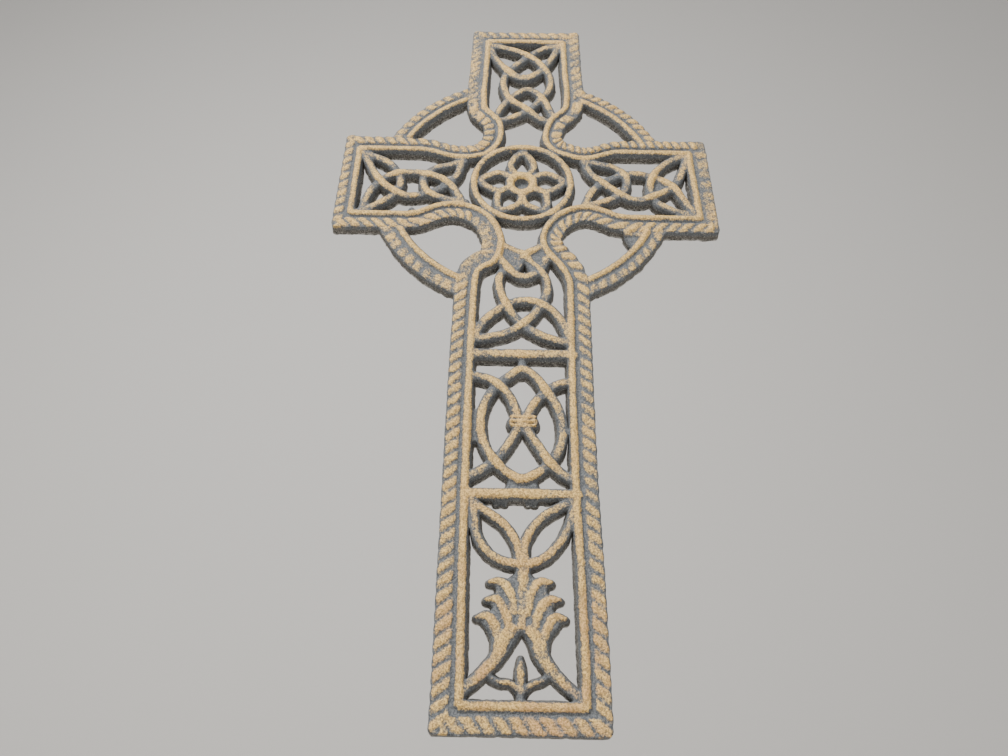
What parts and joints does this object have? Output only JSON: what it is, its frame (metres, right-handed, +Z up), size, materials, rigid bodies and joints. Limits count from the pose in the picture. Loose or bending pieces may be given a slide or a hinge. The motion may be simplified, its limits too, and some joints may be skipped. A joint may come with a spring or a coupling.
{
  "type": "celtic cross wall plaque",
  "caption": "Openwork celtic cross plaque, cast in one piece with a ring, roped border and interlaced knotwork, to hang flat on a wall.",
  "frame": {"origin": "on the flat back, behind the middle of the top border, where the plaque is held to the wall", "axes": "+Z up the shaft as hung, +X to the right seen from the front, +Y into the wall; the face looks along -Y"},
  "size_m": [0.2491, 0.0085, 0.4855],
  "materials": {
    "patinated_iron": "rough as cast, slate grey with gold and copper rubbed over the raised parts"
  },
  "bodies": {
    "root": {"cross": "patinated_iron"}
  },
  "joints": []
}
